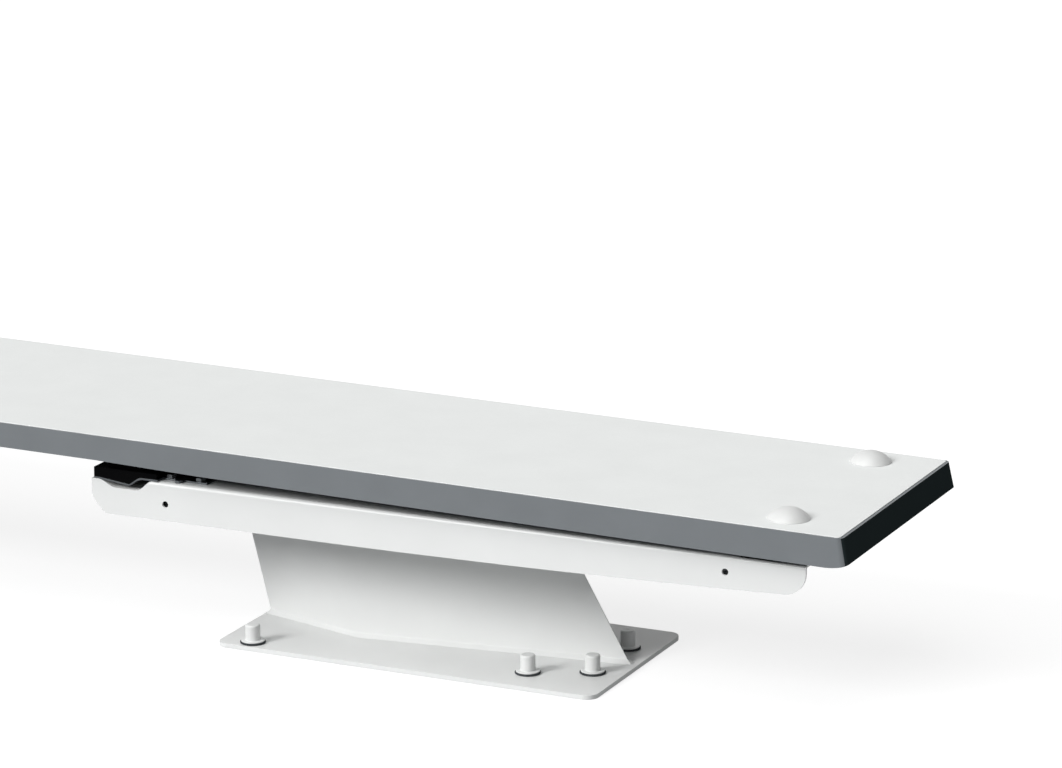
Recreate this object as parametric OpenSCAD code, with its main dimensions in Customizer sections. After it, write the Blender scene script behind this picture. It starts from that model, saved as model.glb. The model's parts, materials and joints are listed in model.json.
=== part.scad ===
// Diving stand with its springboard.
// Origin: on the deck, at the middle of the base plate. +X points to the pool, +Z points up. Millimetres.

/* [Stand] */
// Height of the frame's flat top above the deck
stand_height = 296; // [272:1:322]
// Length of the frame along the board
frame_length = 1311.5; // [1250:0.5:1400]
// Distance from the origin to the pool end of the frame
frame_front = 565; // [545:1:590]
// Outside width of the frame
frame_width = 472; // [440:1:496]
// Height of the frame's side flanges at the middle
frame_depth = 68; // [62:1:80]
// Thickness of the frame's folded sheet
sheet = 4; // [3:0.5:5]
// Outside radius of the long folds of the frame
fold_radius = 7; // [6:0.5:10]
// Rise of the flanges' lower edge at the heel end
tail_rise = 17; // [0:1:22]
// Length of the curve in which the lower edge rises
tail_length = 900; // [800:1:1000]
// Radius of the flanges' lower corner at the heel end
tail_radius = 38; // [20:1:45]
// Length of the flanges' slanted lower corner at the pool end
nose_length = 26; // [24:1:40]
// Height of that slanted corner
nose_height = 26; // [22:1:30]

/* [Dip under the fulcrum] */
// Length of the level land at the pool end
land_length = 12; // [8:1:16]
// Height of that land below the frame's flat top
land_drop = 7.5; // [6:0.5:9]
// Length of the rise from the dip to the land
rise_length = 35; // [28:1:42]
// Length of the dip's level bottom
dip_length = 40; // [36:1:48]
// Depth of the dip below the frame's flat top
dip_depth = 20; // [18:0.5:24]
// Length of the slope from the flat top into the dip
drop_length = 33; // [28:1:40]

/* [Pedestal] */
// Length of the pedestal's foot
pedestal_length = 684; // [640:1:740]
// Distance from the pedestal's leading edge to its widest point, at the foot
pedestal_nose = 200; // [170:1:240]
// Width of the pedestal at its widest point
pedestal_width = 120; // [100:1:150]
// Thickness of the pedestal's plates
pedestal_wall = 5; // [4:0.5:8]
// Lean of the leading edge toward the pool, in degrees
lean_front = 14.5; // [10:0.5:20]
// Lean of the side folds toward the pool, in degrees
lean_fold = 26.5; // [22:0.5:28]
// Lean of the trailing edge toward the pool, in degrees
lean_rear = 30; // [24:0.5:33]
// Height and width of the weld around the foot
weld = 7; // [4:0.5:9]
// Thickness of the stiffening ribs inside
rib_thickness = 6; // [4:0.5:10]
// Distance between the two stiffening ribs
rib_spacing = 175; // [120:1:220]
// Distance of the rear rib behind the side folds' foot
rear_rib_setback = 130; // [100:1:200]
// Thickness of the plate that closes the top
pedestal_cap_thickness = 6; // [5:0.5:8]
// Width of the plate that closes the top
pedestal_cap_width = 140; // [134:1:180]

/* [Spine and crossmembers] */
// Width of the spine channel under the frame's sheet
spine_width = 130; // [120:1:134]
// Height of the spine channel
spine_height = 40; // [34:1:46]
// Thickness of the spine and the crossmembers
channel_wall = 4; // [3:0.5:6]
// Height of the front crossmember
front_crossmember_height = 28; // [26:1:34]
// Height of the heel crossmember
heel_crossmember_height = 14; // [12:1:20]
// Width of the heel crossmember along X
heel_crossmember_width = 50; // [48:1:66]

/* [Base plate and anchors] */
// Thickness of the base plate
plate_thickness = 8; // [5:0.5:12]
// Width of the base plate
plate_width = 381; // [350:1:460]
// Plate left free in front of the pedestal
plate_front_margin = 10; // [8:1:40]
// Plate left free behind the pedestal
plate_rear_margin = 17; // [8:1:40]
// Corner radius of the base plate
plate_corner = 22; // [8:1:26]
// Diameter of the anchor holes
anchor_hole = 14; // [13:0.5:16]
// Inset of the front anchors from the pool end of the plate
front_anchor_inset = 60.5; // [45:0.5:75]
// Distance between the two front anchors
front_anchor_spacing = 330; // [280:1:340]
// Inset of the middle anchors from the heel end of the plate
middle_anchor_inset = 151.5; // [130:0.5:170]
// Distance between the two middle anchors
middle_anchor_spacing = 240; // [200:1:280]
// Inset of the rear anchors from the heel end of the plate
rear_anchor_inset = 52.5; // [45:0.5:65]
// Distance between the two rear anchors
rear_anchor_spacing = 148; // [128:1:180]
// Outside diameter of the rubber seals
seal_diameter = 44.5; // [43.5:0.5:50]
// Thickness of the rubber seals
seal_thickness = 3.5; // [3:0.5:5]
// Diameter of the anchor caps' skirt
skirt_diameter = 41; // [36:1:43]
// Diameter of the anchor caps
anchor_cap_diameter = 26; // [26:0.5:29]
// Height of the anchor caps' top above the plate
anchor_cap_height = 33; // [30:1:46]

/* [Board] */
// Length of the board
board_length = 3048; // [2438:1:3658]
// Width of the board
board_width = 516; // [504:1:528]
// Thickness of the board at the heel end
board_heel_thickness = 51.5; // [48:0.1:54]
// Thickness of the board where it starts to thin toward the fulcrum
board_mid_thickness = 47; // [44:0.1:49]
// Thickness of the board over the fulcrum
board_flex_thickness = 43.4; // [40:0.1:46]
// Thickness of the board at the tip
board_tip_thickness = 32; // [28:0.5:38]
// Length of the stretch that thins before the fulcrum
thinning_length = 202; // [150:1:260]
// Length of the even stretch past the fulcrum
even_length = 215; // [150:1:300]
// Thickness of the fibreglass skin
skin = 3; // [2:0.5:5]
// Width of the solid fibreglass edge
board_rim = 9; // [8:0.5:14]
// Radius of the board's upper edges
board_edge_radius = 5; // [4:0.5:7]
// Radius of the board's corners at the heel, seen from above
board_heel_corner = 12; // [8:1:30]
// How far the top of the board's heel end leans in from its foot
heel_rake = 9.5; // [0:0.5:12]
// How far the board's underside rises to the heel end
heel_lift = 7; // [0:0.5:10]
// Length of the stretch along which the underside rises
heel_lift_length = 40; // [24:1:50]
// Radius of the board's corners at the tip, seen from above
board_tip_corner = 40; // [20:1:80]
// Thickness of the non-slip tread
tread = 1.2; // [0.8:0.1:2]

/* [Fulcrum] */
// Height of the board's underside above the frame's flat top at the fulcrum
fulcrum_height = 31.2; // [28:0.1:36]
// Distance of the bending line behind the pool end of the frame
flex_setback = 20; // [16:1:26]
// Thickness of the fulcrum plate
fulcrum_plate_thickness = 3; // [2:0.5:4]
// Length of the fulcrum plate's tail on the frame's flat top
tail_plate_length = 86; // [82:1:110]
// Distance of the tail plate's sides from the frame's sides
tail_plate_inset = 18; // [17:0.5:24]
// Depth that the fulcrum plate hangs into the dip
fulcrum_sag = 14; // [10:0.5:15]
// Height of the fulcrum block's top above the frame's flat top
block_height = 12.7; // [12:0.1:15]
// Length of the rubber pad on the fulcrum block
fulcrum_pad_length = 68; // [50:1:80]
// Distance of the rubber pad's ends from the frame's sides
fulcrum_pad_inset = 10; // [6:1:30]
// Distance between the two clamp bolts of the fulcrum block
clamp_spacing = 300; // [240:1:360]
// Distance between the two rows of bolts in the tail plate
tail_bolt_spacing = 56; // [50:1:60]
// Shank diameter of the fulcrum's bolts
fulcrum_bolt = 10; // [8:1:10]

/* [Heel seat] */
// Thickness of the rubber heel pads at the bolts
heel_pad_thickness = 9.9; // [8:0.1:14]
// Length of the heel pads along X
heel_pad_length = 112; // [96:1:114]
// Width of the heel pads along Y
heel_pad_width = 116; // [104:1:120]
// Distance from the frame's heel end to the heel bolts
heel_bolt_inset = 50; // [44:0.5:54]
// Distance between the two heel bolts
heel_bolt_spacing = 374; // [370:1:386]
// Distance from the heel bolts to the heel end of the board
heel_overhang = 127; // [90:1:160]
// Shank diameter of the heel bolts
heel_bolt = 12; // [10:1:12]
// Diameter of the dome caps over the heel bolts
dome_diameter = 71; // [66:1:80]
// Height of the dome caps
dome_height = 19; // [14:0.5:22]
// Thickness of the backing plate under the heel crossmember's web
backing_thickness = 8; // [6:0.5:9]

/* [Rail holes] */
// Diameter of the holes for a hand rail in the side flanges
rail_hole = 11.5; // [9:0.5:14]
// Distance from the pool end of the frame to the front rail holes
rail_front_inset = 143; // [130:1:150]
// Distance of the front rail holes below the frame's flat top
rail_front_drop = 38.5; // [30:0.5:40]
// Distance from the heel end of the frame to the rear rail holes
rail_rear_inset = 139.5; // [120:0.5:160]
// Distance of the rear rail holes below the frame's flat top
rail_rear_drop = 27.3; // [24:0.1:32]
// Length of the tubes that are welded behind these holes
rail_boss_length = 26; // [20:1:40]

/* [Hidden] */
$fn = 64;

// Finishes
PAINT = "#e9eae9";
RUBBER = "#17181a";
ZINC = "#b4b8bb";
SKIN = "#808487";
WOOD = "#c9a878";
TREAD = "#eceded";

// Small values shared by several pieces
CUT = 1;
EDGE_HALF = 1;
FREE = 0.3;
CORE_FREE = 0.2;
HOLE_FREE = 1;
THREAD_FREE = 0.04;
BOND = 0.02;
ROOT = 1;
CURVE_STEPS = 10;
CORNER_STEPS = 8;

// Heights, from the deck up
frame_underside = stand_height - sheet;
flange_bottom = stand_height - frame_depth;
spine_bottom = frame_underside - spine_height;
pedestal_top = spine_bottom - pedestal_cap_thickness;
land_z = stand_height - land_drop;
dip_z = stand_height - dip_depth;

// Stations along X
frame_rear = frame_front - frame_length;
land_x = frame_front - land_length;
dip_front_x = land_x - rise_length;
dip_rear_x = dip_front_x - dip_length;
drop_x = dip_rear_x - drop_length;
plate_length = pedestal_length + plate_front_margin + plate_rear_margin;
pedestal_front = plate_length / 2 - plate_front_margin;
pedestal_fold = pedestal_front - pedestal_nose;
pedestal_rear = pedestal_front - pedestal_length;
RIBS = [pedestal_fold - rear_rib_setback, pedestal_fold - rear_rib_setback + rib_spacing];
cap_rear_margin = 12;
cap_front_margin = 10;
cap_corner = 20;
spine_gap = 8;
spine_setback = 15;
nose_radius = 34;
nose_foot_radius = 9;
flex_x = frame_front - flex_setback;
heel_bolt_x = frame_rear + heel_bolt_inset;
board_rear = heel_bolt_x - heel_overhang;
board_tip = board_rear + board_length;
thinning_x = flex_x - thinning_length;
even_x = flex_x + even_length;

// The board's thickness along X, and the straight line of its top
THICKNESS = [
    [board_rear, board_heel_thickness], [thinning_x, board_mid_thickness],
    [flex_x, board_flex_thickness], [even_x, board_flex_thickness], [board_tip, board_tip_thickness]
];
heel_top = stand_height + heel_pad_thickness + lookup(heel_bolt_x, THICKNESS);
flex_top = stand_height + fulcrum_height + board_flex_thickness;
board_slope = (flex_top - heel_top) / (flex_x - heel_bolt_x);
board_pitch = atan(board_slope);
function top_z(x) = heel_top + (x - heel_bolt_x) * board_slope;
function bottom_z(x) = top_z(x) - lookup(x, THICKNESS);
flex_z = flex_top - board_flex_thickness / 2;
knuckle_radius = board_flex_thickness / 2;

// Anchors: places on the base plate
ANCHORS = [
    for (row = [
        [plate_length / 2 - front_anchor_inset, front_anchor_spacing],
        [middle_anchor_inset - plate_length / 2, middle_anchor_spacing],
        [rear_anchor_inset - plate_length / 2, rear_anchor_spacing]
    ]) for (side = [-1, 1]) [row[0], side * row[1] / 2]
];
anchor_washer_radius = 12;
anchor_washer_thickness = 2.5;
anchor_nut_flats = 19;
anchor_nut_height = 10.8;
anchor_nut_bore = 12.4;
anchor_cap_wall = 1.5;
skirt_thickness = 2;
cap_round = 3;

// Rail holes: places in the side flanges, along X and up
RAIL_HOLES = [
    [frame_front - rail_front_inset, stand_height - rail_front_drop],
    [frame_rear + rail_rear_inset, stand_height - rail_rear_drop]
];
rail_boss_wall = 5;

// Fulcrum: the plate's stations, and its bolts
fulcrum_setback = 5;
foot_overhang = 4;
sag_offset = 13;
bend_offset = 6;
tail_offset = 9;
block_on_tail = 2;
pad_setback = 7;
clamp_setback = 15;
fulcrum_front = frame_front - fulcrum_setback;
fulcrum_foot_x = land_x - foot_overhang;
sag_x = dip_rear_x + sag_offset;
bend_x = dip_rear_x - bend_offset;
tail_x = drop_x - tail_offset;
tail_rear = tail_x - tail_plate_length;
tail_plate_width = frame_width - 2 * tail_plate_inset;
block_rear = tail_x + block_on_tail;
block_top = stand_height + block_height;
fulcrum_pad_front = flex_x - pad_setback;
clamp_x = dip_front_x - clamp_setback;
clamp_head_radius = 8;
clamp_head_height = 6;
clamp_sink = 1;
CLAMPS = [for (side = [-1, 1]) [clamp_x, side * clamp_spacing / 2]];
tail_bolt_margin = 12;
tail_bolt_edge = 11;
tail_bolt_x = tail_x - tail_bolt_margin;
tail_bolt_y = tail_plate_width / 2 - tail_bolt_edge;
TAIL_BOLTS = [
    for (x = [tail_bolt_x, tail_bolt_x - tail_bolt_spacing]) for (side = [-1, 1]) [x, side * tail_bolt_y]
];
edge_screw = 6;
edge_screw_flats = 13;
edge_screw_height = 5;
edge_screw_margin = 11.5;
edge_screw_setback = 23;
EDGE_SCREWS = [
    for (side = [-1, 1]) [tail_bolt_x - edge_screw_setback, side * (frame_width / 2 - edge_screw_margin)]
];
bar_width = 42;
bar_thickness = 8;
bar_overlap = 10;
thread_end = 3;
hex_flats_per_shank = 1.6;
hex_height_per_shank = 0.62;
nut_height_per_shank = 0.8;

// Heel seat
heel_washer_radius = 15;
heel_washer_thickness = 1.5;
heel_head_radius = 12;
heel_head_height = 4;
dome_cavity_radius = 16;
dome_cavity_height = 6.5;
HEEL_BOLTS = [for (side = [-1, 1]) [heel_bolt_x, side * heel_bolt_spacing / 2]];
backing_bottom = frame_underside - channel_wall - backing_thickness;
backing_overlap = 24;
heel_nut_height = 10;
heel_bolt_end = backing_bottom - heel_nut_height - thread_end;
heel_pad_inset = 2;
core_margin = 8;

// A corner of a flat outline, rounded to its radius; a radius of 0 leaves the corner as it is
function unit(v) = v / norm(v);
function xy(p) = [p[0], p[1]];
function corner(a, b, c) =
    b[2] == 0 ? [xy(b)] :
    let (
        u = unit(xy(a) - xy(b)),
        v = unit(xy(c) - xy(b)),
        half = acos(u * v) / 2,
        centre = xy(b) + unit(u + v) * b[2] / sin(half),
        start = xy(b) + u * b[2] / tan(half) - centre,
        end = xy(b) + v * b[2] / tan(half) - centre,
        sweep = 180 - 2 * half
    )
    [for (i = [0:CORNER_STEPS]) let (k = i / CORNER_STEPS)
        centre + (start * sin((1 - k) * sweep) + end * sin(k * sweep)) / sin(sweep)];
function rounded(points) =
    let (n = len(points))
    [for (i = [0:n - 1]) each corner(points[(i + n - 1) % n], points[i], points[(i + 1) % n])];

// A smooth step from one level to another, without its two end points
function ease(x0, z0, x1, z1) = [
    for (i = [1:CURVE_STEPS - 1]) let (k = i / CURVE_STEPS)
        [x0 + (x1 - x0) * k, z0 + (z1 - z0) * (1 - cos(180 * k)) / 2, 0]
];

module along_y(width) {
    rotate([90, 0, 0])
        linear_extrude(height = width, center = true)
            children();
}

module slab(x0, x1, width, z0, z1) {
    translate([x0, -width / 2, z0])
        cube([x1 - x0, width, z1 - z0]);
}

module rounded_rectangle(length, width, radius) {
    polygon(rounded([
        [-length / 2, -width / 2, radius], [length / 2, -width / 2, radius],
        [length / 2, width / 2, radius], [-length / 2, width / 2, radius]
    ]));
}

module hexagon(flats, height) {
    cylinder(d = flats / cos(30), h = height, $fn = 6);
}

module hex_nut(flats, height, bore) {
    difference() {
        hexagon(flats, height);
        translate([0, 0, -CUT])
            cylinder(d = bore, h = height + 2 * CUT);
    }
}

// An inverted channel that runs across the frame, from x0 to x1, with its web on top
module cross_channel(x0, x1, top, height) {
    inner = frame_width - 2 * sheet;
    difference() {
        intersection() {
            slab(x0, x1, inner, top - height, top);
            frame_section(inner, frame_underside, fold_radius - sheet);
        }
        slab(x0 + channel_wall, x1 - channel_wall, inner + 2 * CUT,
            top - height - CUT, top - channel_wall);
    }
}

module base_plate() {
    color(PAINT)
        difference() {
            linear_extrude(height = plate_thickness)
                rounded_rectangle(plate_length, plate_width, plate_corner);
            for (p = ANCHORS)
                translate([p[0], p[1], -CUT])
                    cylinder(d = anchor_hole, h = plate_thickness + 2 * CUT);
        }
}

// The lines of the pedestal at a height: leading edge, side fold and trailing edge
function nose_at(z) = pedestal_front + (z - plate_thickness) * tan(lean_front);
function fold_at(z) = pedestal_fold + (z - plate_thickness) * tan(lean_fold);
function back_at(z) = pedestal_rear + (z - plate_thickness) * tan(lean_rear);

// How far a wall reaches along X where the two side plates meet in front and behind
function front_reach(wall) = wall / sin(atan(pedestal_width / 2 / pedestal_nose));
function rear_reach(wall) = wall / sin(atan(pedestal_width / 2 / (pedestal_length - pedestal_nose)));

// One side plate's section at a height, from the leading edge round the outside and back along the inside
function side_section(z, grown) = [
    [nose_at(z) + grown, 0, z],
    [nose_at(z) + grown, EDGE_HALF + grown, z],
    [fold_at(z), pedestal_width / 2 + grown, z],
    [back_at(z) - grown, EDGE_HALF + grown, z],
    [back_at(z) - grown, 0, z],
    [back_at(z) + rear_reach(pedestal_wall), 0, z],
    [fold_at(z), pedestal_width / 2 - pedestal_wall, z],
    [nose_at(z) - front_reach(pedestal_wall), 0, z]
];

// A loft through sections with the same number of points; ends lists the triangles that close it,
// and turned lists the sides whose crease runs the other way, so that a wall's two faces are creased alike
module loft(sections, ends, turned) {
    n = len(sections[0]);
    last = len(sections) - 1;
    polyhedron(
        points = [for (section = sections) each section],
        faces = [
            each ends,
            for (k = [0:last - 1]) for (i = [0:n - 1])
                let (j = (i + 1) % n, low = k * n, high = low + n)
                    each len(search(i, turned)) > 0
                        ? [[low + i, high + i, low + j], [low + j, high + i, high + j]]
                        : [[low + i, high + j, low + j], [low + i, high + i, high + j]],
            for (t = ends) [for (i = [2, 1, 0]) last * n + t[i]]
        ]
    );
}

// The side plate on +Y, with the weld around its foot
module pedestal_side() {
    loft([
        side_section(plate_thickness, weld),
        side_section(plate_thickness + weld, 0),
        side_section(pedestal_top, 0)
    ], [[0, 1, 7], [1, 2, 7], [2, 6, 7], [2, 3, 5], [2, 5, 6], [3, 4, 5]], [5, 6]);
}

module pedestal_left() {
    color(PAINT)
        pedestal_side();
}

module pedestal_right() {
    color(PAINT)
        mirror([0, 1, 0])
            pedestal_side();
}

// The room inside the pedestal at a height
function room_section(z) =
    let (wall = pedestal_wall + FREE)
    [
        [nose_at(z) - front_reach(wall), 0, z], [fold_at(z), pedestal_width / 2 - wall, z],
        [back_at(z) + rear_reach(wall), 0, z], [fold_at(z), wall - pedestal_width / 2, z]
    ];

module pedestal_ribs() {
    color(PAINT)
        intersection() {
            loft([room_section(plate_thickness), room_section(pedestal_top)], [[0, 1, 2], [0, 2, 3]], [2, 3]);
            for (x = RIBS)
                slab(x, x + rib_thickness, pedestal_width, 0, stand_height);
        }
}

module pedestal_cap() {
    rear = back_at(pedestal_top) - cap_rear_margin;
    front = nose_at(pedestal_top) + cap_front_margin;
    color(PAINT)
        translate([(rear + front) / 2, 0, pedestal_top])
            linear_extrude(height = pedestal_cap_thickness)
                rounded_rectangle(front - rear, pedestal_cap_width, cap_corner);
}

// The frame seen from the side, lowered by a sheet for the inside
module frame_side(lower) {
    end = lower > 0 ? CUT : 0;
    nose_x = frame_front - nose_length;
    nose_z = flange_bottom + nose_height;
    top = [
        [frame_rear - end, stand_height - lower, 0], [drop_x, stand_height - lower, 0],
        each ease(drop_x, stand_height - lower, dip_rear_x, dip_z - lower),
        [dip_rear_x, dip_z - lower, 0], [dip_front_x, dip_z - lower, 0],
        each ease(dip_front_x, dip_z - lower, land_x, land_z - lower),
        [land_x, land_z - lower, 0], [frame_front + end, land_z - lower, 0]
    ];
    outer_bottom = [
        [frame_front, nose_z, nose_radius], [nose_x, flange_bottom, nose_foot_radius],
        for (i = [0:CURVE_STEPS - 1]) let (k = i / CURVE_STEPS)
            [frame_rear + tail_length * (1 - k), flange_bottom + tail_rise * k * k, 0],
        [frame_rear, flange_bottom + tail_rise, tail_radius]
    ];
    open_bottom = [
        [frame_front + end, flange_bottom - CUT, 0], [frame_rear - end, flange_bottom - CUT, 0]
    ];
    polygon(rounded(concat(top, lower > 0 ? open_bottom : outer_bottom)));
}

// The frame seen from its end, with its two long folds
module frame_section(width, top, radius) {
    rotate([90, 0, 90])
        linear_extrude(height = 4 * frame_length, center = true)
            polygon(rounded([
                [-width / 2, 0, 0], [width / 2, 0, 0], [width / 2, top, radius], [-width / 2, top, radius]
            ]));
}

module frame_channel() {
    color(PAINT)
        difference() {
            intersection() {
                along_y(frame_width)
                    frame_side(0);
                frame_section(frame_width, stand_height, fold_radius);
            }
            intersection() {
                along_y(frame_width - 2 * sheet)
                    frame_side(sheet);
                frame_section(frame_width - 2 * sheet, frame_underside, fold_radius - sheet);
            }
            for (p = RAIL_HOLES)
                translate([p[0], 0, p[1]])
                    rotate([90, 0, 0])
                        cylinder(d = rail_hole, h = frame_width + 2 * CUT, center = true);
            for (p = HEEL_BOLTS)
                translate([p[0], p[1], frame_underside - CUT])
                    cylinder(d = heel_bolt + 2 * HOLE_FREE, h = sheet + 2 * CUT);
            for (p = CLAMPS)
                translate([p[0], p[1], dip_z - sheet - CUT])
                    cylinder(d = fulcrum_bolt + HOLE_FREE, h = sheet + 2 * CUT);
            for (p = TAIL_BOLTS)
                translate([p[0], p[1], frame_underside - CUT])
                    cylinder(d = fulcrum_bolt + HOLE_FREE, h = sheet + 2 * CUT);
            for (p = EDGE_SCREWS)
                translate([p[0], p[1], frame_underside - CUT])
                    cylinder(d = edge_screw + HOLE_FREE, h = sheet + 2 * CUT);
        }
}

// Tubes inside the side flanges, one behind each rail hole
module rail_bosses() {
    bore = rail_hole / 2 + HOLE_FREE;
    color(PAINT)
        for (p = RAIL_HOLES)
            for (side = [-1, 1])
                translate([p[0], side * (frame_width / 2 - sheet), p[1]])
                    rotate([90 * side, 0, 0])
                        ring(bore + rail_boss_wall, bore, rail_boss_length);
}

module frame_spine() {
    rear = heel_bolt_x + heel_crossmember_width / 2 + spine_gap;
    front = drop_x - spine_setback;
    color(PAINT)
        difference() {
            slab(rear, front, spine_width, spine_bottom, frame_underside);
            slab(rear - CUT, front + CUT, spine_width - 2 * channel_wall,
                spine_bottom + channel_wall, frame_underside + CUT);
        }
}

module front_crossmember() {
    color(PAINT)
        difference() {
            cross_channel(dip_rear_x, dip_front_x, dip_z - sheet, front_crossmember_height);
            for (p = CLAMPS)
                translate([p[0], p[1], dip_z - sheet - channel_wall - CUT])
                    cylinder(d = fulcrum_bolt + HOLE_FREE, h = channel_wall + 2 * CUT);
        }
}

module heel_crossmember() {
    half = heel_crossmember_width / 2;
    color(PAINT)
        difference() {
            cross_channel(heel_bolt_x - half, heel_bolt_x + half, frame_underside, heel_crossmember_height);
            for (p = HEEL_BOLTS)
                translate([p[0], p[1], frame_underside - channel_wall - CUT])
                    cylinder(d = heel_bolt + 2 * HOLE_FREE, h = channel_wall + 2 * CUT);
        }
}

// The underside of the fulcrum plate, from its foot on the land back to its tail, lifted by a height
function plate_line(lift) = [
    [fulcrum_front, land_z + lift], [fulcrum_foot_x, land_z + lift],
    [sag_x, stand_height - fulcrum_sag + lift], [bend_x, stand_height + lift]
];

module fulcrum_plate() {
    low = plate_line(0);
    high = plate_line(fulcrum_plate_thickness);
    color(ZINC)
        difference() {
            union() {
                along_y(frame_width)
                    polygon([
                        each low, [tail_x, stand_height],
                        [tail_x, stand_height + fulcrum_plate_thickness], high[3], high[2], high[1], high[0]
                    ]);
                slab(tail_rear, tail_x, tail_plate_width, stand_height, stand_height + fulcrum_plate_thickness);
            }
            for (p = TAIL_BOLTS)
                translate([p[0], p[1], stand_height - CUT])
                    cylinder(d = fulcrum_bolt + HOLE_FREE, h = fulcrum_plate_thickness + 2 * CUT);
            for (p = CLAMPS)
                translate([p[0], p[1], dip_z])
                    cylinder(d = fulcrum_bolt + HOLE_FREE, h = dip_depth);
        }
}

module fulcrum_block() {
    low = plate_line(fulcrum_plate_thickness);
    color(RUBBER)
        difference() {
            along_y(frame_width)
                polygon([
                    each low, [block_rear, stand_height + fulcrum_plate_thickness],
                    [block_rear, block_top], [fulcrum_front, block_top]
                ]);
            for (p = CLAMPS)
                translate([p[0], p[1], 0]) {
                    translate([0, 0, dip_z])
                        cylinder(d = fulcrum_bolt + HOLE_FREE, h = block_top - dip_z);
                    translate([0, 0, block_top - clamp_head_height - clamp_sink])
                        cylinder(r = clamp_head_radius + HOLE_FREE, h = 2 * clamp_head_height);
                }
        }
}

module fulcrum_pad() {
    rear = fulcrum_pad_front - fulcrum_pad_length;
    color(RUBBER)
        along_y(frame_width - 2 * fulcrum_pad_inset)
            polygon([
                [rear, block_top], [fulcrum_pad_front, block_top],
                [fulcrum_pad_front, bottom_z(fulcrum_pad_front) - BOND], [rear, bottom_z(rear) - BOND]
            ]);
}

module fulcrum_clamp_bolts() {
    seat = block_top - clamp_head_height - clamp_sink;
    end = dip_z - sheet - channel_wall - fulcrum_bolt * nut_height_per_shank - thread_end;
    color(ZINC)
        for (p = CLAMPS)
            translate([p[0], p[1], 0]) {
                translate([0, 0, seat])
                    cylinder(r = clamp_head_radius, h = clamp_head_height);
                translate([0, 0, end])
                    cylinder(d = fulcrum_bolt, h = seat - end + ROOT);
            }
}

module fulcrum_clamp_nuts() {
    height = fulcrum_bolt * nut_height_per_shank;
    color(ZINC)
        for (p = CLAMPS)
            translate([p[0], p[1], dip_z - sheet - channel_wall - height])
                hex_nut(fulcrum_bolt * hex_flats_per_shank, height, fulcrum_bolt + THREAD_FREE);
}

module fulcrum_tail_bolts() {
    seat = stand_height + fulcrum_plate_thickness;
    end = frame_underside - bar_thickness;
    color(ZINC)
        for (p = TAIL_BOLTS)
            translate([p[0], p[1], 0]) {
                translate([0, 0, seat])
                    hexagon(fulcrum_bolt * hex_flats_per_shank, fulcrum_bolt * hex_height_per_shank);
                translate([0, 0, end])
                    cylinder(d = fulcrum_bolt, h = seat - end + ROOT);
            }
}

module fulcrum_edge_screws() {
    end = frame_underside - bar_thickness;
    color(ZINC)
        for (p = EDGE_SCREWS)
            translate([p[0], p[1], 0]) {
                translate([0, 0, stand_height])
                    hexagon(edge_screw_flats, edge_screw_height);
                translate([0, 0, end])
                    cylinder(d = edge_screw, h = stand_height - end + ROOT);
            }
}

module fulcrum_backing_bars() {
    outer = frame_width / 2 - fold_radius;
    color(ZINC)
        difference() {
            for (side = [-1, 1])
                translate([tail_rear - bar_overlap, side > 0 ? outer - bar_width : -outer,
                    frame_underside - bar_thickness])
                    cube([tail_plate_length + bar_overlap, bar_width, bar_thickness]);
            for (p = TAIL_BOLTS)
                translate([p[0], p[1], frame_underside - bar_thickness - CUT])
                    cylinder(d = fulcrum_bolt + THREAD_FREE, h = bar_thickness + 2 * CUT);
            for (p = EDGE_SCREWS)
                translate([p[0], p[1], frame_underside - bar_thickness - CUT])
                    cylinder(d = edge_screw + THREAD_FREE, h = bar_thickness + 2 * CUT);
        }
}

module heel_pads() {
    rear = frame_rear + heel_pad_inset;
    front = rear + heel_pad_length;
    color(RUBBER)
        for (side = [-1, 1])
            difference() {
                translate([0, side * (frame_width / 2 - heel_pad_inset - heel_pad_width / 2), 0])
                    along_y(heel_pad_width)
                        polygon([
                            [rear, stand_height], [front, stand_height],
                            [front, bottom_z(front) - BOND], [rear, bottom_z(rear) - BOND]
                        ]);
                translate([heel_bolt_x, side * heel_bolt_spacing / 2, stand_height - CUT])
                    cylinder(d = heel_bolt + 2 * HOLE_FREE, h = 4 * heel_pad_thickness);
            }
}

// A flat seat for the bolt heads: level on top, and cut to the board's slope below
module heel_washers() {
    seat = heel_top + heel_washer_thickness;
    color(RUBBER)
        for (p = HEEL_BOLTS)
            difference() {
                translate([p[0], p[1], seat - 2 * heel_washer_thickness])
                    cylinder(r = heel_washer_radius, h = 2 * heel_washer_thickness);
                translate([p[0], p[1], 0])
                    cylinder(d = heel_bolt + HOLE_FREE, h = 2 * seat);
                translate([p[0], p[1], heel_top])
                    rotate([0, -board_pitch, 0])
                        translate([-2 * heel_washer_radius, -2 * heel_washer_radius, -heel_top / 2])
                            cube([4 * heel_washer_radius, 4 * heel_washer_radius, heel_top / 2]);
            }
}

module heel_bolts() {
    seat = heel_top + heel_washer_thickness;
    color(ZINC)
        for (p = HEEL_BOLTS)
            translate([p[0], p[1], 0]) {
                translate([0, 0, seat])
                    cylinder(r = heel_head_radius, h = heel_head_height);
                translate([0, 0, heel_bolt_end])
                    cylinder(d = heel_bolt, h = seat - heel_bolt_end + ROOT);
            }
}

// A shallow dome with a round hollow for the bolt head, set square on the sloping board
module heel_caps() {
    foot = dome_diameter / 2;
    ball = (foot * foot + dome_height * dome_height) / (2 * dome_height);
    color(TREAD)
        for (p = HEEL_BOLTS)
            translate([p[0], p[1], heel_top])
                rotate([0, -board_pitch, 0])
                    difference() {
                        translate([0, 0, dome_height - ball])
                            sphere(r = ball, $fn = 128);
                        translate([-2 * ball, -2 * ball, -4 * ball])
                            cube([4 * ball, 4 * ball, 4 * ball]);
                        translate([0, 0, -CUT])
                            cylinder(r = dome_cavity_radius, h = dome_cavity_height + CUT);
                    }
}

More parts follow.
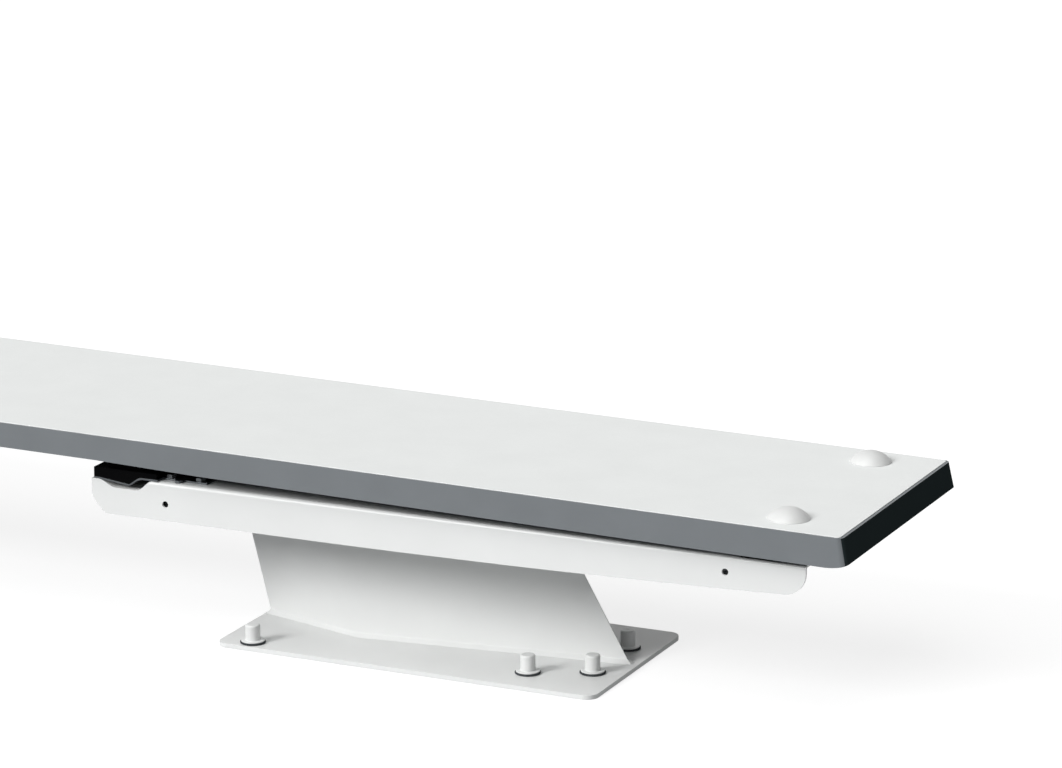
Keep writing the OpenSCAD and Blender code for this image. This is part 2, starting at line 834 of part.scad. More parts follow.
module heel_backing_plate() {
    length = heel_crossmember_width - 2 * channel_wall - 2 * HOLE_FREE;
    color(ZINC)
        difference() {
            slab(heel_bolt_x - length / 2, heel_bolt_x + length / 2, heel_bolt_spacing + 2 * backing_overlap,
                backing_bottom, backing_bottom + backing_thickness);
            for (p = HEEL_BOLTS)
                translate([p[0], p[1], backing_bottom - CUT])
                    cylinder(d = heel_bolt + HOLE_FREE, h = backing_thickness + 2 * CUT);
        }
}

module heel_nuts() {
    color(ZINC)
        for (p = HEEL_BOLTS)
            translate([p[0], p[1], backing_bottom - heel_nut_height])
                hex_nut(heel_bolt * hex_flats_per_shank, heel_nut_height, heel_bolt + THREAD_FREE);
}

module at_anchors(z) {
    for (p = ANCHORS)
        translate([p[0], p[1], z])
            children();
}

module ring(outer, inner, height) {
    difference() {
        cylinder(r = outer, h = height);
        translate([0, 0, -CUT])
            cylinder(r = inner, h = height + 2 * CUT);
    }
}

module anchor_seals() {
    color(RUBBER)
        at_anchors(plate_thickness)
            ring(seal_diameter / 2, anchor_washer_radius + FREE, seal_thickness);
}

module anchor_washers() {
    color(ZINC)
        at_anchors(plate_thickness)
            ring(anchor_washer_radius, anchor_nut_bore / 2 + FREE, anchor_washer_thickness);
}

module anchor_nuts() {
    color(ZINC)
        at_anchors(plate_thickness + anchor_washer_thickness)
            hex_nut(anchor_nut_flats, anchor_nut_height, anchor_nut_bore);
}

// A tall round cap with a skirt on the seal, open below
module anchor_caps() {
    outer = anchor_cap_diameter / 2;
    inner = outer - anchor_cap_wall;
    height = anchor_cap_height - seal_thickness;
    color(PAINT)
        at_anchors(plate_thickness + seal_thickness)
            rotate_extrude()
                polygon([
                    [inner, 0], [skirt_diameter / 2, 0], [skirt_diameter / 2, skirt_thickness],
                    [outer, skirt_thickness],
                    for (a = [0:15:90])
                        [outer - cap_round * (1 - cos(a)), height - cap_round * (1 - sin(a))],
                    [0, height], [0, height - anchor_cap_wall], [inner, height - anchor_cap_wall]
                ]);
}

// The board seen from the side between two stations, inset from its top and its bottom
module board_side(x0, x1, top_inset, bottom_inset) {
    polygon([
        [x0, top_z(x0) - top_inset], [x1, top_z(x1) - top_inset], [x1, bottom_z(x1) + bottom_inset],
        for (i = [len(THICKNESS) - 1:-1:0])
            let (x = THICKNESS[i][0])
                if (x > x0 && x < x1) [x, bottom_z(x) + bottom_inset],
        [x0, bottom_z(x0) + bottom_inset]
    ]);
}

// The board seen from above, with its four round corners
module board_plan() {
    half = board_width / 2;
    linear_extrude(height = 2 * flex_top)
        polygon(rounded([
            [board_rear, -half, board_heel_corner], [board_tip, -half, board_tip_corner],
            [board_tip, half, board_tip_corner], [board_rear, half, board_heel_corner]
        ]));
}

// The board seen from its end, with rounded upper edges that follow its slope
module board_section() {
    half = board_width / 2;
    top = -tread * cos(board_pitch);
    translate([heel_bolt_x, 0, heel_top])
        rotate([0, -board_pitch, 0])
            rotate([90, 0, 90])
                linear_extrude(height = 3 * board_length, center = true)
                    polygon(rounded([
                        [-half, -2 * board_heel_thickness, 0], [half, -2 * board_heel_thickness, 0],
                        [half, top, board_edge_radius], [-half, top, board_edge_radius]
                    ]));
}

module knuckle(radius) {
    translate([flex_x, 0, flex_z])
        rotate([90, 0, 0])
            cylinder(r = radius, h = board_width + 2 * CUT, center = true, $fn = 96);
}

module heel_bolt_holes() {
    for (p = HEEL_BOLTS)
        translate([p[0], p[1], 0])
            cylinder(d = heel_bolt + HOLE_FREE, h = 2 * heel_top);
}

// The side view of the board's heel: its end leans in and its underside rises to it along a curve
module heel_side() {
    foot = bottom_z(board_rear) + heel_lift;
    height = top_z(board_rear) - foot;
    low = heel_top - 2 * board_heel_thickness;
    polygon([
        [flex_x + board_width, low], [flex_x + board_width, foot + 2 * height],
        [board_rear + 2 * heel_rake, foot + 2 * height],
        for (i = [0:CURVE_STEPS])
            let (k = i / CURVE_STEPS, x = board_rear + heel_lift_length * k)
                [x, bottom_z(x) + heel_lift * (1 - k) * (1 - k)],
        [board_rear + heel_lift_length, low]
    ]);
}

// The core between two stations; free is the room that the skin leaves around it
module board_core(x0, x1, free) {
    along_y(board_width - 2 * (board_rim + free))
        board_side(x0 + free, x1 - free, tread + skin + free, skin + free);
}

// The tread between two stations, inset from the board's rim
module board_tread(x0, x1) {
    along_y(board_width - 2 * board_edge_radius)
        polygon([
            [x0, top_z(x0)], [x1, top_z(x1)],
            [x1, top_z(x1) - tread + BOND], [x0, top_z(x0) - tread + BOND]
        ]);
}

core_rear = board_rear + heel_lift_length;
core_heel_end = flex_x - knuckle_radius - core_margin;
core_tip_start = flex_x + knuckle_radius + core_margin;
core_front = board_tip - board_tip_corner;

module board_heel_shell() {
    color(SKIN)
        difference() {
            intersection() {
                along_y(board_width)
                    board_side(board_rear, flex_x, -CUT, 0);
                along_y(board_width + 2 * CUT)
                    heel_side();
                board_plan();
                board_section();
            }
            board_core(core_rear, core_heel_end, 0);
            knuckle(knuckle_radius + FREE);
            heel_bolt_holes();
        }
}

module board_heel_core() {
    color(WOOD)
        difference() {
            board_core(core_rear, core_heel_end, CORE_FREE);
            heel_bolt_holes();
        }
}

module board_heel_tread() {
    color(TREAD)
        difference() {
            board_tread(board_rear + heel_rake + board_edge_radius, flex_x);
            knuckle(knuckle_radius + FREE);
            heel_bolt_holes();
        }
}

module board_tip_shell() {
    color(SKIN)
        difference() {
            intersection() {
                union() {
                    along_y(board_width)
                        board_side(flex_x, board_tip, -CUT, 0);
                    knuckle(knuckle_radius);
                }
                board_plan();
                board_section();
            }
            board_core(core_tip_start, core_front, 0);
        }
}

module board_tip_core() {
    color(WOOD)
        board_core(core_tip_start, core_front, CORE_FREE);
}

module board_tip_tread() {
    color(TREAD)
        board_tread(flex_x, board_tip - board_edge_radius);
}

base_plate();
pedestal_left();
pedestal_right();
pedestal_ribs();
pedestal_cap();
frame_channel();
frame_spine();
front_crossmember();
heel_crossmember();
rail_bosses();
fulcrum_plate();
fulcrum_block();
fulcrum_pad();
fulcrum_clamp_bolts();
fulcrum_clamp_nuts();
fulcrum_tail_bolts();
fulcrum_edge_screws();
fulcrum_backing_bars();
heel_pads();
heel_bolts();
heel_washers();
heel_caps();
heel_backing_plate();
heel_nuts();
anchor_seals();
anchor_washers();
anchor_nuts();
anchor_caps();
board_heel_shell();
board_heel_core();
board_heel_tread();
board_tip_shell();
board_tip_core();
board_tip_tread();
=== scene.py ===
"""Finishes and detailed pieces of a diving stand with its springboard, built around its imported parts."""

import json
import math

import bmesh
import bpy
from mathutils import Matrix, Vector


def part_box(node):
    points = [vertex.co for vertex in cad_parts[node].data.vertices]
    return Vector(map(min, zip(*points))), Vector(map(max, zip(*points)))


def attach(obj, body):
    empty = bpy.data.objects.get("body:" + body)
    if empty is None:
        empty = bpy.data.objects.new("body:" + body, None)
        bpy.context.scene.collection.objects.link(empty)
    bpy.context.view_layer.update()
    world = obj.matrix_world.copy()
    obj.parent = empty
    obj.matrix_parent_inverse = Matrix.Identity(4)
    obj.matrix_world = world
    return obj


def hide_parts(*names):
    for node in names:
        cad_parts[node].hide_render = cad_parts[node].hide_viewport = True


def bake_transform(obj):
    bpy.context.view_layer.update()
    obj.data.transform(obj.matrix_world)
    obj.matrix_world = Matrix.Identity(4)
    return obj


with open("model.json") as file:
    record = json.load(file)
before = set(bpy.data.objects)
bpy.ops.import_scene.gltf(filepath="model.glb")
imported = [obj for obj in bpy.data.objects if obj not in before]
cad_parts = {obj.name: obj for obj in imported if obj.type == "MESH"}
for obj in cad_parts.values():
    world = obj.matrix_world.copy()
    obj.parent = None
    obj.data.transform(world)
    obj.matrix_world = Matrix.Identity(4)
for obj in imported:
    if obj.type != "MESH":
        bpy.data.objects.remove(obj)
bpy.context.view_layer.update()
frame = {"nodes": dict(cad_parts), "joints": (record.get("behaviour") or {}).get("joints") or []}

bl_info = {
    "name": "Diving stand",
    "version": (1, 0, 0),
    "blender": (4, 5, 0),
    "location": "3D View > Sidebar > Diving stand",
    "description": "Finishes the packed parts of a diving stand and models its detailed pieces",
    "category": "Object",
}

MM = 0.001
MERGE = 1e-6
FLAT = math.radians(0.3)
CREASE = math.radians(28)
BEND_STEPS = 24
CORNER_STEPS = 10
FASTENER_STEPS = 36
BEAD_STEPS = 10
# The lean of the board's heel end dies away over this many times its heel stretch
RAKE_REACH = 3
# A hexagon's half width over its flats as a share of that over its corners
HEX_FLAT = math.cos(math.radians(30))
# The round face under a bolt's head, or on a nut, as a share of the width over flats
CHAMFERED = 0.95
WASHER_FACE = 0.3 * MM
FLEX = next(joint for joint in frame["joints"] if joint["name"] == "board_flex")
FLEX_X = FLEX["pos_m"][0]


def linear(hex_colour):
    """An sRGB hex colour as linear RGBA."""
    channels = [int(hex_colour[i:i + 2], 16) / 255 for i in (1, 3, 5)]
    return [c / 12.92 if c <= 0.04045 else ((c + 0.055) / 1.055) ** 2.4 for c in channels] + [1.0]


def length(name, description, millimetres):
    """A size in the panel."""
    return bpy.props.FloatProperty(
        name=name, description=description, default=millimetres * MM, unit="LENGTH", precision=4
    )


def colour(name, description, hex_colour):
    """A colour in the panel."""
    return bpy.props.FloatVectorProperty(
        name=name, description=description, default=linear(hex_colour), size=4, subtype="COLOR",
        min=0.0, max=1.0
    )


class StandFinishes(bpy.types.PropertyGroup):
    """Colours of the stand's materials."""

    paint: colour("Paint", "Powder coat on the stand's steel", "#E0E1E0")
    # The zinc colour is darker than plain zinc: painted shade for the plated parts that sit in shade under
    # the board
    zinc_and_shade: colour("Zinc", "Zinc plate on the fulcrum's sheet and the bolts", "#606366")
    # The rail sockets' near black is partly their own blacked finish and partly painted shade, so that the
    # rail holes read as dark as shade inside them
    blacked_and_hole_shade: colour("Blacked steel", "Blacked steel of the rail sockets inside the frame", "#1C1E20")
    rubber: colour("Rubber", "Black rubber of the pads and the fulcrum block", "#050506")
    # The seals' dark grey is partly their rubber and partly painted shade: it stands in for the shade under
    # the caps' skirts
    seal_and_skirt_shade: colour("Seals", "Grey rubber of the seals under the anchor caps", "#4A4D50")
    gelcoat: colour("Board side", "Grey gelcoat on the board's sides", "#727679")
    end: colour("Heel end", "Dark gelcoat on the board's heel end", "#2C3435")
    tread: colour("Tread", "White non-slip coat on the board's top", "#E6E8E7")
    cap: colour("Caps", "White polyethylene of the anchor caps", "#DBDCDB")
    dome: colour("Domes", "White polyethylene of the heel domes", "#CDCECD")
    grit: length("Grit", "Spacing of the sand grains in the non-slip coat", 1.4)
    orange_peel: length("Orange peel", "Spacing of the ripples in the powder coat", 3.0)


class StandSizes(bpy.types.PropertyGroup):
    """Sizes of the pieces that are modelled here."""

    sheet_edge: length("Sheet edges", "Rounding of the edges of cut sheet and plate", 0.6)
    dip_fold: length("Dip fold", "Radius of the fold along the frame's dip", 5)
    rim_round: length("Board rim", "Radius of the board's upper edge", 5.5)
    sole_round: length("Board sole", "Radius of the board's lower edge", 2.5)
    board_draft: length("Board draft", "How far the board's sides lean in from sole to top", 2.5)
    heel_rake: length("Heel rake", "How far the board's heel end leans in from sole to top", 9.5)
    heel_lift: length("Heel lift", "How far the board's underside rises to the heel end", 7)
    heel_stretch: length("Heel stretch", "Length of board along which its underside rises", 40)
    heel_corner: length("Heel corners", "Radius of the board's corners at the heel", 12)
    tip_corner: length("Tip corners", "Radius of the board's corners at the tip", 40)
    tread_depth: length("Tread", "Thickness of the non-slip coat", 1.2)
    thinning: length("Thinning", "Board that thins before the fulcrum", 202)
    even: length("Even stretch", "Board of even thickness past the fulcrum", 215)
    bend: length("Bend", "Length of board that bends, half of it on each side of the hinge", 360)
    cap_diameter: length("Anchor caps", "Diameter of the anchor caps above their skirts", 26)
    cap_round: length("Cap rounding", "Radius of the anchor caps' top edge", 3)
    dome_diameter: length("Domes", "Diameter of the domes over the heel bolts", 71)
    dome_height: length("Dome height", "Height of the domes over the heel bolts", 19)
    plate_bend: length("Plate bends", "Radius of the bends in the fulcrum's plate", 5)
    fulcrum_sheet: length("Fulcrum plate", "Thickness of the fulcrum's plate", 3)
    fulcrum_bolt: length("Fulcrum bolts", "Shank of the fulcrum's bolts", 10)
    edge_screw: length("Edge screws", "Shank of the screws beside the fulcrum's plate", 6)
    heel_bolt: length("Heel bolts", "Shank of the heel bolts", 12)
    thread: length("Thread", "Threaded length of the long bolts", 40)
    top_weld: length("Top weld", "Radius of the weld bead round the pedestal's top", 2.5)
    ripple: length("Weld ripples", "Distance between the ripples of a weld bead", 4)
    rubber_round: length("Rubber edges", "Rounding of the edges of the rubber pieces", 1.2)


def finishes():
    """The colours and pattern sizes as the panel has them."""
    return bpy.context.scene.stand_finishes


def sizes():
    """The sizes of the pieces as the panel has them."""
    return bpy.context.scene.stand_sizes


def add(tree, kind, settings=None, inputs=None):
    """Adds a node with its settings; an input given a socket is linked to it, any other is set."""
    made = tree.nodes.new(kind)
    for name, value in (settings or {}).items():
        setattr(made, name, value)
    for name, value in (inputs or {}).items():
        if isinstance(value, bpy.types.NodeSocket):
            tree.links.new(value, made.inputs[name])
        else:
            made.inputs[name].default_value = value
    return made


def new_material(name, **surface):
    """A material with a principled shader; returns the material, its tree and its shader."""
    made = bpy.data.materials.new(name)
    made.use_nodes = True
    tree = made.node_tree
    shader = tree.nodes["Principled BSDF"]
    for socket, value in surface.items():
        shader.inputs[socket.replace("_", " ")].default_value = value
    return made, tree, shader


def object_place(tree, scale=(1.0, 1.0, 1.0)):
    """The piece's own coordinates in metres, stretched where a pattern runs one way."""
    place = add(tree, "ShaderNodeTexCoord")
    mapped = add(tree, "ShaderNodeMapping", {}, {"Vector": place.outputs["Object"], "Scale": scale})
    return mapped.outputs["Vector"]


def patches(tree, where, spacing, detail, low=0.0, high=1.0):
    """Soft patches a real distance apart, as an amount that swings between two values."""
    cloud = add(tree, "ShaderNodeTexNoise", {}, {"Vector": where, "Scale": 1 / spacing, "Detail": detail})
    swing = add(tree, "ShaderNodeMapRange", {}, {
        "Value": cloud.outputs["Fac"], "From Min": 0.3, "From Max": 0.7, "To Min": low, "To Max": high
    })
    return swing.outputs["Result"]


def join_shader(tree, shader, base, darkest, tone, dullness, height, depth):
    """Joins patterns to the shader: its colour down to a darkest share, its roughness and a real bump."""
    dark = [c * darkest for c in base[:3]] + [1.0]
    shade = add(tree, "ShaderNodeMix", {"data_type": "RGBA"}, {"Factor": tone, "A": dark, "B": base})
    bump = add(tree, "ShaderNodeBump", {}, {"Height": height, "Distance": depth})
    tree.links.new(shade.outputs["Result"], shader.inputs["Base Color"])
    tree.links.new(dullness, shader.inputs["Roughness"])
    tree.links.new(bump.outputs["Normal"], shader.inputs["Normal"])


def powder_coat():
    """Polyester powder coat on steel, sprayed and baked."""
    # It reads as a soft satin white with a faint orange peel and hardly any change of tone
    made, tree, shader = new_material("powder_coat", IOR=1.5)
    where = object_place(tree)
    cloud = patches(tree, where, 120 * MM, 3.0)
    peel = add(tree, "ShaderNodeTexNoise", {}, {
        "Vector": where, "Scale": 1 / finishes().orange_peel, "Detail": 1.0
    })
    satin = add(tree, "ShaderNodeMapRange", {}, {"Value": cloud, "To Min": 0.42, "To Max": 0.36})
    join_shader(
        tree, shader, finishes().paint, 0.965, cloud, satin.outputs["Result"],
        peel.outputs["Fac"], 0.06 * MM
    )
    return made


def plated_steel(name, base):
    """Steel with a thin plated or blacked surface, tumbled."""
    # It reads as grey metal with a soft crystalline mottle and dull highlights
    made, tree, shader = new_material(name, Metallic=1.0)
    mottle = patches(tree, object_place(tree), 9 * MM, 4.0)
    drawn = add(tree, "ShaderNodeTexNoise", {}, {
        "Vector": object_place(tree, (0.05, 1.0, 1.0)), "Scale": 1 / (0.8 * MM), "Detail": 2.0
    })
    dull = add(tree, "ShaderNodeMapRange", {}, {"Value": mottle, "To Min": 0.42, "To Max": 0.28})
    join_shader(tree, shader, base, 0.82, mottle, dull.outputs["Result"], drawn.outputs["Fac"], 0.02 * MM)
    return made


def moulded_rubber(name, base):
    """Neoprene rubber, moulded."""
    # It reads as a matt surface with a fine grain and a bloom here and there
    made, tree, shader = new_material(name, IOR=1.52, Specular_IOR_Level=0.03)
    where = object_place(tree)
    bloom = patches(tree, where, 22 * MM, 4.0)
    grain = add(tree, "ShaderNodeTexNoise", {}, {"Vector": where, "Scale": 1 / (0.7 * MM), "Detail": 2.0})
    matt = add(tree, "ShaderNodeMapRange", {}, {"Value": bloom, "To Min": 0.7, "To Max": 0.85})
    join_shader(tree, shader, base, 0.6, bloom, matt.outputs["Result"], grain.outputs["Fac"], 0.08 * MM)
    return made


def gelcoat(name, base, gloss):
    """Polyester gelcoat over glass fibre, moulded against a waxed mould and flatted along the board."""
    # It reads as an even satin tone with faint lines along the board and a few paler clouds
    made, tree, shader = new_material(name, IOR=1.54, Specular_IOR_Level=gloss)
    lines = add(tree, "ShaderNodeTexNoise", {}, {
        "Vector": object_place(tree, (0.02, 1.0, 1.0)), "Scale": 1 / (1.6 * MM), "Detail": 2.0
    })
    lined = {"Value": lines.outputs["Fac"], "From Min": 0.3, "From Max": 0.7}
    faint = add(tree, "ShaderNodeMapRange", {}, {**lined, "To Min": 0.75, "To Max": 1.0})
    satin = add(tree, "ShaderNodeMapRange", {}, {**lined, "To Min": 0.36, "To Max": 0.5})
    tone = add(tree, "ShaderNodeMath", {"operation": "MULTIPLY"}, {
        0: patches(tree, object_place(tree), 70 * MM, 3.0), 1: faint.outputs["Result"]
    })
    join_shader(
        tree, shader, base, 0.93, tone.outputs["Value"], satin.outputs["Result"],
        lines.outputs["Fac"], 0.03 * MM
    )
    return made


def sand_tread():
    """Epoxy with silica sand broadcast into it and a white top coat."""
    # It reads as a matt white with a fine even grain; the grains are drawn a little coarser than real sand,
    # and the colour darkens in the hollows between them as painted shade
    made, tree, shader = new_material("sand_tread", IOR=1.5)
    where = object_place(tree)
    grit = finishes().grit
    grains = add(tree, "ShaderNodeTexVoronoi", {}, {"Vector": where, "Scale": 1 / grit})
    rounded = add(tree, "ShaderNodeMapRange", {}, {
        "Value": grains.outputs["Distance"], "From Min": 0.1, "From Max": 0.8, "To Min": 1.0, "To Max": 0.0
    })
    height = add(tree, "ShaderNodeMath", {"operation": "MULTIPLY"}, {
        0: rounded.outputs["Result"], 1: patches(tree, where, 6 * grit, 3.0, 0.3)
    })
    sand = height.outputs["Value"]
    # Painted shade: the colour is darker where the grains' height is low, in the hollows between them
    shade = add(tree, "ShaderNodeMapRange", {}, {
        "Value": sand, "From Min": 0.0, "From Max": 0.6, "To Min": 0.7, "To Max": 1.0
    })
    tone = add(tree, "ShaderNodeMath", {"operation": "MULTIPLY"}, {
        0: patches(tree, where, 90 * MM, 4.0, 0.55), 1: shade.outputs["Result"]
    })
    matt = add(tree, "ShaderNodeMapRange", {}, {"Value": sand, "To Min": 0.9, "To Max": 0.75})
    join_shader(
        tree, shader, finishes().tread, 0.93, tone.outputs["Value"], matt.outputs["Result"],
        sand, 0.22 * MM
    )
    return made


def polyethylene(name, base):
    """White polyethylene, injection moulded."""
    # It reads as a slightly waxy white, smoother than the paint round it
    made, tree, shader = new_material(name, IOR=1.51, Subsurface_Weight=0.08)
    shader.inputs["Subsurface Radius"].default_value = [2 * MM, 2 * MM, 2 * MM]
    shader.inputs["Subsurface Scale"].default_value = 1.0
    where = object_place(tree)
    cloud = patches(tree, where, 15 * MM, 2.0)
    skin = add(tree, "ShaderNodeTexNoise", {}, {"Vector": where, "Scale": 1 / (1.2 * MM), "Detail": 2.0})
    waxy = add(tree, "ShaderNodeMapRange", {}, {"Value": cloud, "To Min": 0.34, "To Max": 0.42})
    join_shader(tree, shader, base, 0.97, cloud, waxy.outputs["Result"], skin.outputs["Fac"], 0.02 * MM)
    return made


def material(name):
    """A finish of this scene, made the first time that it is asked for."""
    makers = {
        "powder_coat": powder_coat,
        # Zinc darkened as painted shade for the parts under the board
        "zinc_plate": lambda: plated_steel("zinc_plate", finishes().zinc_and_shade),
        # Blacked steel, near black also as painted shade inside the rail holes
        "blacked_steel": lambda: plated_steel("blacked_steel", finishes().blacked_and_hole_shade),
        "black_neoprene": lambda: moulded_rubber("black_neoprene", finishes().rubber),
        # Seal rubber, dark partly as painted shade under the caps' skirts
        "grey_neoprene": lambda: moulded_rubber("grey_neoprene", finishes().seal_and_skirt_shade),
        "side_gelcoat": lambda: gelcoat("side_gelcoat", finishes().gelcoat, 0.15),
        "end_gelcoat": lambda: gelcoat("end_gelcoat", finishes().end, 0.0),
        "sand_tread": sand_tread,
        "cap_polyethylene": lambda: polyethylene("cap_polyethylene", finishes().cap),
        "dome_polyethylene": lambda: polyethylene("dome_polyethylene", finishes().dome),
    }
    return bpy.data.materials.get(name) or makers[name]()


def dress(obj, *names):
    """Puts materials into a piece's empty slots."""
    for name in names:
        obj.data.materials.append(material(name))


def dress_node(name, finish):
    """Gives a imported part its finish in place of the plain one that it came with."""
    obj = frame["nodes"][name]
    obj.data.materials.clear()
    dress(obj, finish)


def mesh_from(name, shape):
    """Turns a bmesh into a mesh and frees it."""
    mesh = bpy.data.meshes.new(name)
    shape.to_mesh(mesh)
    shape.free()
    return mesh


def placed(name, data):
    """Puts a mesh, a lamp or a camera into the scene."""
    obj = bpy.data.objects.new(name, data)
    bpy.context.scene.collection.objects.link(obj)
    return obj


def new_piece(name, shape, materials, nodes, body="root"):
    """Makes a piece from a bmesh: shaded smooth but for its creases and large flats, riding on its body."""
    for face in shape.faces:
        face.smooth = True
    for edge in shape.edges:
        edge.smooth = len(edge.link_faces) == 2 and edge.calc_face_angle(0.0) < CREASE
    obj = placed(name, mesh_from(name, shape))
    weighted = obj.modifiers.new("weighted_normals", "WEIGHTED_NORMAL")
    weighted.keep_sharp = True
    dress(obj, *materials)
    if nodes:
        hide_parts(*nodes)
    if body:
        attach(obj, body)
    return obj


def cad_copy(*names):
    """The named nodes' shapes in one bmesh, their loose triangles merged and their flat faces joined."""
    made = bmesh.new()
    for name in names:
        made.from_mesh(frame["nodes"][name].data)
    bmesh.ops.remove_doubles(made, verts=made.verts, dist=MERGE)
    bmesh.ops.dissolve_limit(made, angle_limit=FLAT, verts=made.verts, edges=made.edges)
    return made


def round_edges(shape, edges, radius, segments=2):
    """Rounds some edges of a bmesh."""
    bmesh.ops.bevel(
        shape, geom=edges, offset=radius, segments=segments, profile=0.5, affect="EDGES",
        material=-1, clamp_overlap=True
    )
    shape.normal_update()


def creased(shape):
    """The edges of a bmesh at which its surface turns sharply."""
    return [e for e in shape.edges if len(e.link_faces) == 2 and e.calc_face_angle(0.0) > CREASE]


def across(shape, co, no):
    """Cuts a bmesh along a plane, keeping both sides."""
    geom = shape.verts[:] + shape.edges[:] + shape.faces[:]
    return bmesh.ops.bisect_plane(shape, geom=geom, dist=MERGE, plane_co=co, plane_no=no)


def islands(name):
    """The lowest and highest corners of each separate solid of a node, ordered along X and Y."""
    shape = cad_copy(name)
    left = set(shape.verts)
    found = []
    while left:
        group = [left.pop()]
        for vert in group:
            for edge in vert.link_edges:
                other = edge.other_vert(vert)
                if other in left:
                    left.remove(other)
                    group.append(other)
        low = Vector([min(v.co[axis] for v in group) for axis in range(3)])
        high = Vector([max(v.co[axis] for v in group) for axis in range(3)])
        found.append((low, high))
    shape.free()
    return sorted(found, key=lambda box: (round(box[0].x, 4), round(box[0].y, 4)))


def arc(centre_r, centre_z, radius, start, end, steps=5):
    """Points of an arc in a profile, from one angle to another in degrees."""
    angles = [math.radians(start + (end - start) * step / steps) for step in range(steps + 1)]
    return [(centre_r + radius * math.cos(a), centre_z + radius * math.sin(a)) for a in angles]


def turned(shape, profile, place, steps=48, closed=False):
    """Adds to a bmesh the body that a profile of radii and heights makes when it turns about Z."""
    verts = [shape.verts.new((r, 0, z)) for r, z in profile]
    pairs = list(zip(verts, verts[1:])) + ([(verts[-1], verts[0])] if closed else [])
    edges = [shape.edges.new(pair) for pair in pairs]
    before = set(shape.verts) - set(verts)
    bmesh.ops.spin(
        shape, geom=verts + edges, cent=(0, 0, 0), axis=(0, 0, 1), angle=math.tau, steps=steps,
        use_merge=True
    )
    made = [v for v in shape.verts if v not in before]
    bmesh.ops.remove_doubles(shape, verts=made, dist=MERGE)
    made = [v for v in shape.verts if v not in before]
    faces = list({face for vert in made for face in vert.link_faces})
    bmesh.ops.recalc_face_normals(shape, faces=faces)
    bmesh.ops.transform(shape, matrix=place, verts=made)
    return made


def hex_cut(shape, verts, flats, middle):
    """Cuts the widest part of a turned body to a hexagon that has two of its flats across Y."""
    faces = list({face for vert in verts for face in vert.link_faces})
    edges = list({edge for vert in verts for edge in vert.link_edges})
    geom = list(verts) + edges + faces
    for step in range(6):
        angle = math.radians(30 + 60 * step)
        out = Vector((math.cos(angle), math.sin(angle), 0))
        cut = bmesh.ops.bisect_plane(
            shape, geom=geom, dist=MERGE, plane_co=middle + out * flats / 2, plane_no=out,
            clear_outer=True
        )
        rim_edges = [e for e in cut["geom_cut"] if isinstance(e, bmesh.types.BMEdge)]
        filled = bmesh.ops.contextual_create(shape, geom=rim_edges)["faces"]
        geom = [g for g in cut["geom"] if g.is_valid] + filled


def threaded(radius, low, high, pitch):
    """The profile of a thread between two heights, as rings a pitch apart."""
    depth = 0.5 * pitch
    turns = int((high - low) / pitch)
    points = []
    for turn in range(turns):
        points.append((radius - depth, low + turn * pitch))
        points.append((radius, low + (turn + 0.5) * pitch))
    return points


def bolt(shape, place, shank, pitch, low, seat, high, flats=None, head=None, thread_top=None):
    """Adds a bolt on an upright axis: a threaded shank from low to its seat, and a head up to high."""
    r = shank / 2
    corner = head / 2 if head else flats / 2 / HEX_FLAT
    face = corner * 0.9 if head else flats * CHAMFERED / 2
    chamfer = 0.5 * (corner - face) + WASHER_FACE
    profile = [(0, low), (r - pitch / 2, low)]
    profile += threaded(r, low + WASHER_FACE, thread_top or seat - pitch, pitch)
    profile += [(r, seat - pitch / 2), (r, seat), (face, seat)]
    profile += [(face, seat + WASHER_FACE), (corner, seat + WASHER_FACE)]
    profile += [(corner, high - chamfer), (face, high), (0, high)]
    made = turned(shape, profile, Matrix.Translation(place), FASTENER_STEPS)
    if flats:
        hex_cut(shape, made, flats, Vector((place[0], place[1], 0)))


def nut(shape, place, flats, bore, low, high):
    """Adds a hexagon nut with chamfered corners and bore."""
    corner = flats / 2 / HEX_FLAT
    face = flats * CHAMFERED / 2
    chamfer = 0.5 * (corner - face) + WASHER_FACE
    lead = 0.8 * MM
    profile = [
        (bore / 2, low + lead), (bore / 2 + lead, low), (face, low), (corner, low + chamfer),
        (corner, high - chamfer), (face, high), (bore / 2 + lead, high), (bore / 2, high - lead),
    ]
    made = turned(shape, profile, Matrix.Translation(place), FASTENER_STEPS, closed=True)
    hex_cut(shape, made, flats, Vector((place[0], place[1], 0)))


def bead(shape, start, end, radius, ripple):
    """Adds a weld bead along a straight line, as a thin body turned about it with a swell per ripple."""
    way = Vector(end) - Vector(start)
    count = max(2, int(way.length / ripple))
    pitch = way.length / count
    waist = 0.82 * radius
    shoulder = 0.97 * radius
    profile = [(0, 0)]
    for step in range(count):
        profile += [(waist, step * pitch), (radius, (step + 0.4) * pitch), (shoulder, (step + 0.7) * pitch)]
    profile += [(waist, way.length), (0, way.length)]
    turn = way.to_track_quat("Z", "Y").to_matrix().to_4x4()
    turned(shape, profile, Matrix.Translation(start) @ turn, BEAD_STEPS)


def heights_at(x, *names):
    """The lowest and highest point of the named nodes where a plane across X cuts them."""
    shape = bmesh.new()
    for name in names:
        shape.from_mesh(frame["nodes"][name].data)
    cut = across(shape, (x, 0, 0), (1, 0, 0))["geom_cut"]
    found = [v.co.z for v in cut if isinstance(v, bmesh.types.BMVert)]
    shape.free()
    return min(found), max(found)


def along(stations, x):
    """The height at x on a line through stations, each an x and a height."""
    for (x0, z0), (x1, z1) in zip(stations, stations[1:]):
        if x <= x1:
            break
    return z0 + (z1 - z0) * (x - x0) / (x1 - x0)


